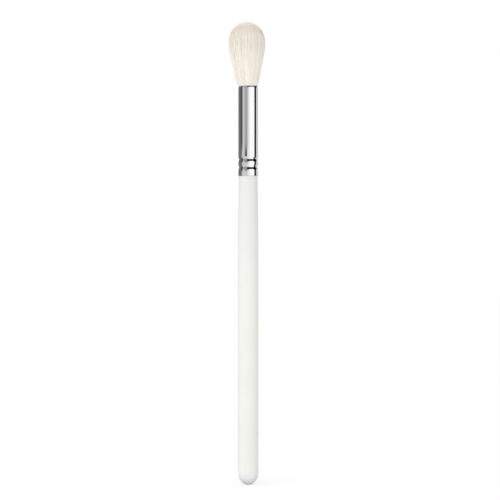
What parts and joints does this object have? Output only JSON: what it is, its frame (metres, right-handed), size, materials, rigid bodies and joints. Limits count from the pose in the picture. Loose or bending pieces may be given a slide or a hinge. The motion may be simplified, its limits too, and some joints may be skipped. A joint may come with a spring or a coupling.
{
  "type": "blush brush",
  "caption": "Slim makeup brush with a teardrop tuft of soft white hair, a crimped plated ferrule and a round white lacquered handle.",
  "frame": {"origin": "the lowest point of the handle's domed end, on the brush's axis", "axes": "+Z along the brush from the handle's end to the tips of the hair; X and Y across it"},
  "size_m": [0.0143, 0.0142, 0.18],
  "materials": {
    "lacquered_wood": "satin white lacquer",
    "plated_metal": "bright nickel plate on drawn brass",
    "hair": "soft, fine, warm white",
    "thread": "matt cotton",
    "resin": "set epoxy, amber",
    "glue": "set wood glue"
  },
  "bodies": {
    "root": {"handle": "lacquered_wood", "ferrule": "plated_metal", "hair_tuft": "hair", "binding_thread": "thread", "root_resin": "resin", "tenon_glue": "glue"}
  },
  "joints": []
}
